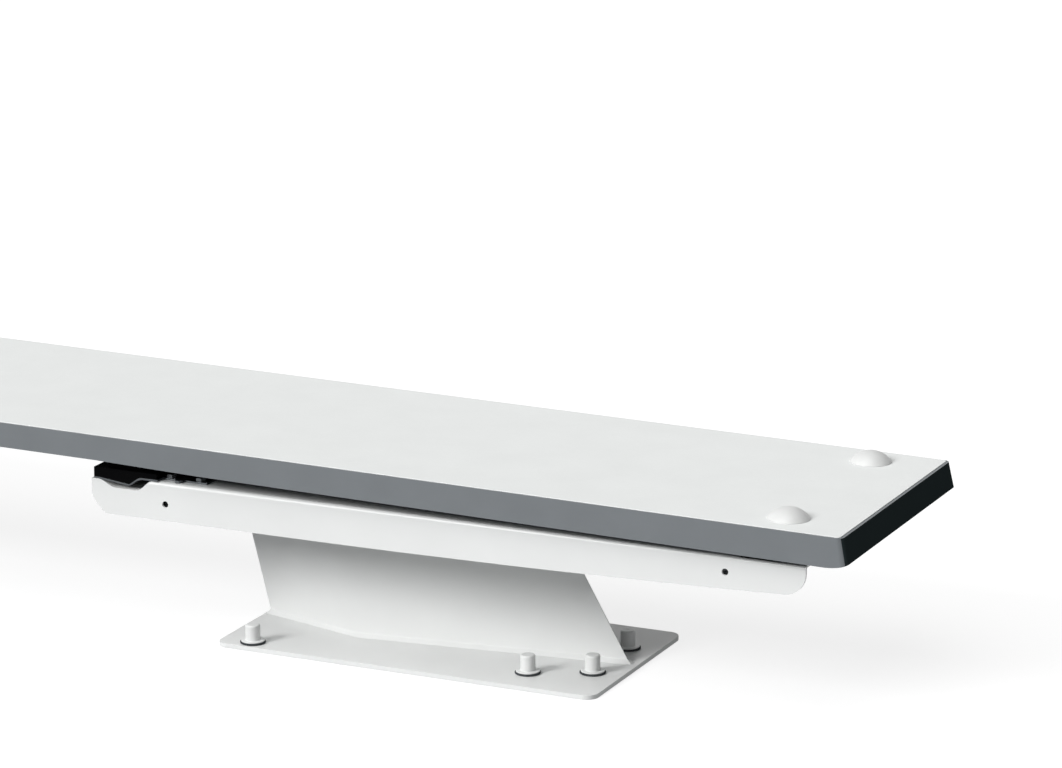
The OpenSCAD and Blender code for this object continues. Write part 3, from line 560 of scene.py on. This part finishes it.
def board_lines():
    """The board's underside and top as lines of stations along X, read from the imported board."""
    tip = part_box("board_tip_shell")[1].x
    clear_of_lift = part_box("board_heel_shell")[0].x + 2 * sizes().heel_stretch
    stations = [clear_of_lift, FLEX_X - sizes().thinning, FLEX_X, FLEX_X + sizes().even, tip - MM]
    found = [heights_at(x, "board_heel_shell", "board_tip_shell") for x in stations]
    sole = [(x, z[0]) for x, z in zip(stations, found)]
    top = [(x, z[1]) for x, z in zip(stations, found)]
    return sole, top


def plank(x0, x1, half_width, heel_corner, tip_corner, sole, top, cuts):
    """A flat body with four round corners whose underside and top follow two lines along X."""
    made = bmesh.new()
    low = min(z for _, z in sole)
    high = max(z for _, z in top)
    middle = Vector(((x0 + x1) / 2, 0, (low + high) / 2))
    size = Matrix.Diagonal((x1 - x0, 2 * half_width, high - low, 1))
    bmesh.ops.create_cube(made, size=1.0, matrix=Matrix.Translation(middle) @ size)
    for end, radius in ((x0, heel_corner), (x1, tip_corner)):
        upright = [e for e in made.edges
                   if all(abs(v.co.x - end) < MM for v in e.verts)
                   and abs(e.verts[0].co.y - e.verts[1].co.y) < MM]
        round_edges(made, upright, radius, CORNER_STEPS)
    for x in cuts:
        across(made, (x, 0, 0), (1, 0, 0))
    for vert in made.verts:
        line = top if vert.co.z > middle.z else sole
        vert.co.z = along(line, vert.co.x)
    return made


def lean(shape, low, high, sole):
    """Leans a plank's sides and heel end in towards its top, and lifts its underside to the heel end."""
    rake_reach = RAKE_REACH * sizes().heel_stretch
    for vert in shape.verts:
        back = vert.co.x - low.x
        if vert.co.z > along(sole, vert.co.x) + MM:
            vert.co.y *= 1 - sizes().board_draft / high.y
            vert.co.x += sizes().heel_rake * max(0.0, 1 - back / rake_reach)
        elif back < sizes().heel_stretch:
            vert.co.z += sizes().heel_lift * (1 - back / sizes().heel_stretch) ** 2


def bend_cuts():
    """The places along X at which the board is cut, so that it can bend."""
    return [FLEX_X + sizes().bend * (step / BEND_STEPS - 0.5) for step in range(BEND_STEPS + 1)]


def bend_at_fulcrum(obj):
    """Bakes the placement of a piece that runs the board's whole length into its mesh."""
    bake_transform(obj)


def rim(shape, up):
    """The edges between a plank's sides and its top, or its underside."""
    level = 0.7
    upright = 0.3
    found = []
    for edge in shape.edges:
        slopes = sorted(face.normal.z * up for face in edge.link_faces)
        if len(slopes) == 2 and slopes[1] > level and abs(slopes[0]) < upright:
            found.append(edge)
    return found


class STAND_OT_studio(bpy.types.Operator):
    """Sets up the pale floor, the soft lamps and the camera"""

    bl_idname = "stand.studio"
    bl_label = "Studio"

    camera_place = Vector((-3.2782, 6.7920, 2.4235))
    camera_azimuth = math.radians(204.697)
    camera_elevation = math.radians(14.598)
    camera_lens = 155.497
    floor_reach = 30.0
    floor_gap = 0.2 * MM
    sky_strength = 0.17

    def camera(self):
        """Looks at the stand from the photograph's angle."""
        data = bpy.data.cameras.new("camera")
        data.sensor_width = 36.0
        data.lens = self.camera_lens
        data.clip_end = 200.0
        obj = placed("camera", data)
        a = self.camera_azimuth
        e = self.camera_elevation
        back = Vector((math.sin(a) * math.cos(e), -math.cos(a) * math.cos(e), math.sin(e)))
        obj.location = self.camera_place
        obj.rotation_mode = "QUATERNION"
        obj.rotation_quaternion = (-back).to_track_quat("-Z", "Y")
        bpy.context.scene.camera = obj

    def lamp(self, name, towards, spread, strength):
        """A far softbox: the way to it, its width as an angle, and what a white card facing it reflects."""
        data = bpy.data.lights.new(name, "SUN")
        data.angle = math.radians(spread)
        data.energy = strength * math.pi
        obj = placed(name, data)
        obj.rotation_mode = "QUATERNION"
        obj.rotation_quaternion = Vector(towards).to_track_quat("Z", "Y")

    def seen(self, tree):
        """One where the camera, a reflection or clear glass looks at the backdrop, otherwise nought."""
        path = add(tree, "ShaderNodeLightPath")
        total = path.outputs["Is Camera Ray"]
        for name in ("Is Glossy Ray", "Is Transmission Ray"):
            joined = add(tree, "ShaderNodeMath", {"operation": "MAXIMUM"}, {0: total, 1: path.outputs[name]})
            total = joined.outputs["Value"]
        return total

    def floor(self):
        """A plain floor, near white to the camera and grey to the light that it throws back."""
        shape = bmesh.new()
        bmesh.ops.create_grid(
            shape, x_segments=1, y_segments=1, size=self.floor_reach,
            matrix=Matrix.Translation((0, 0, -self.floor_gap))
        )
        obj = placed("floor", mesh_from("floor", shape))
        made = bpy.data.materials.new("studio_floor")
        made.use_nodes = True
        tree = made.node_tree
        tree.nodes.clear()
        bounce = add(tree, "ShaderNodeBsdfDiffuse", {}, {"Color": (0.36, 0.37, 0.38, 1.0)})
        shadow = add(tree, "ShaderNodeBsdfDiffuse", {}, {"Color": (0.3, 0.3, 0.3, 1.0)})
        glow = add(tree, "ShaderNodeEmission", {}, {"Color": (1.0, 1.0, 1.0, 1.0), "Strength": 0.8})
        white = add(tree, "ShaderNodeAddShader", {}, {0: shadow.outputs["BSDF"], 1: glow.outputs["Emission"]})
        mixed = add(tree, "ShaderNodeMixShader", {}, {
            "Fac": self.seen(tree), 1: bounce.outputs["BSDF"], 2: white.outputs["Shader"]
        })
        add(tree, "ShaderNodeOutputMaterial", {}, {"Surface": mixed.outputs["Shader"]})
        obj.data.materials.append(made)

    def world(self):
        """A white backdrop that lights the stand only a little."""
        made = bpy.data.worlds.new("studio_world")
        made.use_nodes = True
        tree = made.node_tree
        tree.nodes.clear()
        strength = add(tree, "ShaderNodeMapRange", {}, {
            "Value": self.seen(tree), "To Min": self.sky_strength, "To Max": 1.0
        })
        sky = add(tree, "ShaderNodeBackground", {}, {
            "Color": (1.0, 1.0, 1.0, 1.0), "Strength": strength.outputs["Result"]
        })
        add(tree, "ShaderNodeOutputWorld", {}, {"Surface": sky.outputs["Background"]})
        bpy.context.scene.world = made

    def execute(self, context):
        context.scene.view_settings.view_transform = "Standard"
        self.camera()
        self.floor()
        self.world()
        self.lamp("front_softbox", (0.46, 0.78, 0.48), 20.0, 0.76)
        self.lamp("high_softbox", (0.15, 0.55, 0.95), 56.0, 0.56)
        return {"FINISHED"}


class STAND_OT_board(bpy.types.Operator):
    """Models the springboard's fibreglass body as one plank, cut across where it would bend over the fulcrum
    """

    bl_idname = "stand.board"
    bl_label = "Board"

    lift_steps = 8
    end_facing = 0.72

    def execute(self, context):
        sole, top = board_lines()
        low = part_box("board_heel_shell")[0]
        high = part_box("board_tip_shell")[1]
        lift = sizes().heel_stretch / self.lift_steps
        cuts = [x for x, _ in sole[1:-1]] + bend_cuts()
        cuts += [low.x + lift * step for step in range(1, self.lift_steps + 1)]
        cuts += [low.x + RAKE_REACH * sizes().heel_stretch]
        shape = plank(low.x, high.x, high.y, sizes().heel_corner, sizes().tip_corner, sole, top, cuts)
        lean(shape, low, high, sole)
        shape.normal_update()
        round_edges(shape, rim(shape, 1), sizes().rim_round, 5)
        shape.normal_update()
        round_edges(shape, rim(shape, -1), sizes().sole_round, 3)
        shape.normal_update()
        for face in shape.faces:
            if face.normal.x < -self.end_facing:
                face.material_index = 1
        obj = new_piece(
            "springboard", shape, ["side_gelcoat", "end_gelcoat"],
            ["board_heel_shell", "board_heel_core", "board_tip_shell", "board_tip_core"], None
        )
        bend_at_fulcrum(obj)
        return {"FINISHED"}


class STAND_OT_tread(bpy.types.Operator):
    """Models the non-slip coat on the board's top"""

    bl_idname = "stand.tread"
    bl_label = "Tread"

    edge_gap = 1.5 * MM
    edge_share = 0.5

    def execute(self, context):
        top = board_lines()[1]
        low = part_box("board_heel_tread")[0]
        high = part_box("board_tip_tread")[1]
        inset = sizes().rim_round
        coat = [(x, z + sizes().tread_depth) for x, z in top]
        shape = plank(
            low.x, high.x, high.y - self.edge_gap, sizes().heel_corner - inset, sizes().tip_corner - inset,
            top, coat, [x for x, _ in top[1:-1]] + bend_cuts()
        )
        round_edges(shape, rim(shape, 1), self.edge_share * sizes().tread_depth, 2)
        obj = new_piece(
            "tread_coat", shape, ["sand_tread"],
            ["board_heel_tread", "board_tip_tread"], None
        )
        bend_at_fulcrum(obj)
        return {"FINISHED"}


class STAND_OT_painted_steel(bpy.types.Operator):
    """Gives the sheet steel of the stand its softened edges and its paint"""

    bl_idname = "stand.painted_steel"
    bl_label = "Painted steel"

    softened = ("base_plate", "frame_channel", "pedestal_left", "pedestal_right", "pedestal_cap")
    plain = ("pedestal_ribs", "frame_spine", "front_crossmember", "heel_crossmember")

    top_fold = 8 * MM
    dip_facing = 0.6
    flange_facing = 0.1

    def dip_edges(self, shape):
        """The sharp edges between the dip and the outer faces of the frame's flanges."""
        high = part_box("frame_channel")[1]
        found = []
        for edge in shape.edges:
            middle = (edge.verts[0].co + edge.verts[1].co) / 2
            if abs(middle.y) > high.y - MM / 2 and middle.x > 0 and middle.z < high.z - self.top_fold:
                rises = [face.normal.z for face in edge.link_faces]
                upright = min(abs(rise) for rise in rises) < self.flange_facing
                if len(rises) == 2 and upright and max(rises) > self.dip_facing:
                    found.append(edge)
        return found

    def execute(self, context):
        for name in self.softened:
            shape = cad_copy(name)
            if name == "frame_channel":
                round_edges(shape, self.dip_edges(shape), sizes().dip_fold, 4)
            round_edges(shape, creased(shape), sizes().sheet_edge, 2)
            new_piece(name + "_painted", shape, ["powder_coat"], [name])
        for name in self.plain:
            dress_node(name, "powder_coat")
        # The sockets' dark colour is partly painted shade inside the rail holes
        dress_node("rail_bosses", "blacked_steel")
        return {"FINISHED"}


class STAND_OT_zinc_steel(bpy.types.Operator):
    """Gives the flat zinc plated parts their finish and bends the fulcrum's plate to round bends"""

    bl_idname = "stand.zinc_steel"
    bl_label = "Zinc steel"

    plain = ("fulcrum_backing_bars", "heel_backing_plate", "anchor_washers", "anchor_nuts")
    steepest_bend = math.radians(60)

    def execute(self, context):
        shape = cad_copy("fulcrum_plate")
        bends = [e for e in creased(shape)
                 if e.calc_face_angle(0.0) < self.steepest_bend
                 and abs(e.verts[0].co.x - e.verts[1].co.x) < MM]
        round_edges(shape, bends, sizes().plate_bend, 5)
        round_edges(shape, creased(shape), 0.5 * sizes().sheet_edge, 2)
        new_piece("fulcrum_plate_bent", shape, ["zinc_plate"], ["fulcrum_plate"])
        for name in self.plain:
            dress_node(name, "zinc_plate")
        return {"FINISHED"}


class STAND_OT_bolts(bpy.types.Operator):
    """Models the bolts and nuts, with their chamfered heads and threads"""

    bl_idname = "stand.bolts"
    bl_label = "Bolts and nuts"

    m6_pitch = 1.0 * MM
    m10_pitch = 1.5 * MM
    m12_pitch = 1.75 * MM
    clamp_head = 6 * MM
    heel_head = 4 * MM

    def hexagon_bolts(self, name, shank, pitch, seat):
        """The hexagon bolts of a node, threaded up to their seat."""
        shape = bmesh.new()
        for low, high in islands(name):
            middle = (low + high) / 2
            bolt(shape, (middle.x, middle.y, 0), shank, pitch, low.z, seat, high.z, flats=high.y - low.y)
        return new_piece(name + "_turned", shape, ["zinc_plate"], [name])

    def round_bolts(self, name, shank, pitch, head_height):
        """The round headed bolts of a node, threaded at their lower end."""
        shape = bmesh.new()
        for low, high in islands(name):
            middle = (low + high) / 2
            bolt(
                shape, (middle.x, middle.y, 0), shank, pitch, low.z, high.z - head_height, high.z,
                head=high.x - low.x, thread_top=low.z + sizes().thread
            )
        return new_piece(name + "_turned", shape, ["zinc_plate"], [name])

    def nuts(self, name, bore):
        """The nuts of a node."""
        shape = bmesh.new()
        for low, high in islands(name):
            middle = (low + high) / 2
            nut(shape, (middle.x, middle.y, 0), high.y - low.y, bore, low.z, high.z)
        return new_piece(name + "_turned", shape, ["zinc_plate"], [name])

    def execute(self, context):
        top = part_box("frame_channel")[1].z
        plate = sizes().fulcrum_sheet
        self.hexagon_bolts("fulcrum_tail_bolts", sizes().fulcrum_bolt, self.m10_pitch, top + plate)
        self.hexagon_bolts("fulcrum_edge_screws", sizes().edge_screw, self.m6_pitch, top)
        self.round_bolts("fulcrum_clamp_bolts", sizes().fulcrum_bolt, self.m10_pitch, self.clamp_head)
        self.round_bolts("heel_bolts", sizes().heel_bolt, self.m12_pitch, self.heel_head)
        self.nuts("fulcrum_clamp_nuts", sizes().fulcrum_bolt)
        self.nuts("heel_nuts", sizes().heel_bolt)
        return {"FINISHED"}


class STAND_OT_welds(bpy.types.Operator):
    """Lays the ripple bead round the pedestal's top"""

    bl_idname = "stand.welds"
    bl_label = "Welds"

    below_cap = 1.5 * MM

    def outline_at(self, z):
        """The pedestal's leading edge, side fold and trailing edge on +Y at a height."""
        shape = cad_copy("pedestal_left")
        cut = across(shape, (0, 0, z), (0, 0, 1))["geom_cut"]
        points = [v.co.copy() for v in cut if isinstance(v, bmesh.types.BMVert)]
        shape.free()
        nose = max(points, key=lambda p: p.x)
        fold = max(points, key=lambda p: p.y)
        back = min(points, key=lambda p: p.x)
        return nose, fold, back

    def run(self, shape, z, radius, ripple):
        """Beads along both sides of the pedestal at a height."""
        nose, fold, back = self.outline_at(z)
        for side in (1, -1):
            flip = Vector((1, side, 1))
            for start, end in ((nose, fold), (fold, back)):
                bead(shape, start * flip, end * flip, radius, ripple)

    def execute(self, context):
        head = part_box("pedestal_cap")[0].z
        shape = bmesh.new()
        self.run(shape, head - self.below_cap, sizes().top_weld, sizes().ripple)
        bmesh.ops.recalc_face_normals(shape, faces=shape.faces)
        new_piece("pedestal_welds", shape, ["powder_coat"], [])
        return {"FINISHED"}


class STAND_OT_rubber(bpy.types.Operator):
    """Models the rubber block and pads, with their moulded round edges"""

    bl_idname = "stand.rubber"
    bl_label = "Rubber"

    softened = {
        "fulcrum_block": "black_neoprene", "fulcrum_pad": "black_neoprene", "heel_pads": "black_neoprene",
        # The seals' dark grey is partly painted shade under the caps' skirts
        "anchor_seals": "grey_neoprene",
    }
    plain = ("heel_washers",)

    def execute(self, context):
        for name, finish in self.softened.items():
            shape = cad_copy(name)
            round_edges(shape, creased(shape), sizes().rubber_round, 3)
            new_piece(name + "_moulded", shape, [finish], [name])
        for name in self.plain:
            dress_node(name, "black_neoprene")
        return {"FINISHED"}


class STAND_OT_caps(bpy.types.Operator):
    """Models the anchor caps with their skirts"""

    bl_idname = "stand.caps"
    bl_label = "Anchor caps"

    wall = 1.5 * MM
    skirt = 2 * MM
    draft = 0.3 * MM
    fillet = 1.4 * MM
    dimple = 0.4 * MM
    gate = 1.6 * MM
    gate_rim = 2.5 * MM

    def execute(self, context):
        shape = bmesh.new()
        round_top = sizes().cap_round
        body = sizes().cap_diameter / 2
        for low, high in islands("anchor_caps"):
            rim_radius = (high.x - low.x) / 2
            inner = body - self.wall
            skirt_top = low.z + self.skirt
            profile = [(0, high.z - self.wall), (inner, high.z - self.wall), (inner, low.z)]
            profile += [(rim_radius - 0.5 * MM, low.z)]
            profile += arc(rim_radius - self.skirt / 2, low.z + self.skirt / 2, self.skirt / 2, -60, 90, 6)
            profile += arc(body + self.fillet, skirt_top + self.fillet, self.fillet, 270, 180, 5)
            profile += arc(body - self.draft - round_top, high.z - round_top, round_top, 0, 90, 8)
            profile += [(self.gate_rim, high.z), (self.gate, high.z - self.dimple)]
            profile += [(0, high.z - self.dimple)]
            middle = (low + high) / 2
            turned(shape, profile, Matrix.Translation((middle.x, middle.y, 0)), 64)
        new_piece("anchor_caps_moulded", shape, ["cap_polyethylene"], ["anchor_caps"])
        return {"FINISHED"}


class STAND_OT_domes(bpy.types.Operator):
    """Models the shallow domes over the heel bolts, square on the sloping board"""

    bl_idname = "stand.domes"
    bl_label = "Heel domes"

    lip = 0.9 * MM
    chamfer = 0.3 * MM
    cavity_radius = 16 * MM
    cavity_height = 6.5 * MM

    def execute(self, context):
        top = board_lines()[1]
        slope = (top[-1][1] - top[0][1]) / (top[-1][0] - top[0][0])
        foot = sizes().dome_diameter / 2
        height = sizes().dome_height
        rise = height - self.lip
        ball = (foot * foot + rise * rise) / (2 * rise)
        reach = math.degrees(math.asin(foot / ball))
        profile = [(0, self.cavity_height), (self.cavity_radius, self.cavity_height)]
        profile += [(self.cavity_radius, 0), (foot - self.chamfer, 0), (foot, self.chamfer)]
        profile += arc(0, height - ball, ball, 90 - reach, 90, 16)[:-1] + [(0, height)]
        shape = bmesh.new()
        for low, high in islands("heel_caps"):
            middle = (low + high) / 2
            seat = along(top, middle.x) + sizes().tread_depth
            tilt = Matrix.Rotation(-math.atan(slope), 4, "Y")
            turned(shape, profile, Matrix.Translation((middle.x, middle.y, seat)) @ tilt, 96)
        new_piece("heel_domes", shape, ["dome_polyethylene"], ["heel_caps"])
        return {"FINISHED"}


class STAND_PT_panel(bpy.types.Panel):
    """Lists the steps that build the stand"""

    bl_idname = "STAND_PT_panel"
    bl_label = "Diving stand"
    bl_space_type = "VIEW_3D"
    bl_region_type = "UI"
    bl_category = "Diving stand"

    def draw(self, context):
        """Shows the colours and sizes, and a button for each step."""
        for group in (context.scene.stand_finishes, context.scene.stand_sizes):
            box = self.layout.box()
            for name in group.bl_rna.properties.keys():
                if name not in ("rna_type", "name"):
                    box.prop(group, name)
        for operator in OPERATORS:
            self.layout.operator(operator.bl_idname)


OPERATORS = (
    STAND_OT_studio,
    STAND_OT_painted_steel,
    STAND_OT_welds,
    STAND_OT_zinc_steel,
    STAND_OT_bolts,
    STAND_OT_rubber,
    STAND_OT_caps,
    STAND_OT_domes,
    STAND_OT_board,
    STAND_OT_tread,
)
CLASSES = (StandFinishes, StandSizes, *OPERATORS, STAND_PT_panel)


def register():
    """Makes the operators, the panel and their settings known to Blender."""
    for cls in CLASSES:
        bpy.utils.register_class(cls)
    bpy.types.Scene.stand_finishes = bpy.props.PointerProperty(type=StandFinishes)
    bpy.types.Scene.stand_sizes = bpy.props.PointerProperty(type=StandSizes)


def unregister():
    """Takes the settings, the panel and the operators away again."""
    del bpy.types.Scene.stand_sizes
    del bpy.types.Scene.stand_finishes
    for cls in reversed(CLASSES):
        bpy.utils.unregister_class(cls)


def main():
    """Builds the whole stand."""
    register()
    for operator in OPERATORS:
        group, name = operator.bl_idname.split(".")
        getattr(getattr(bpy.ops, group), name)()


if __name__ == "__main__":
    main()
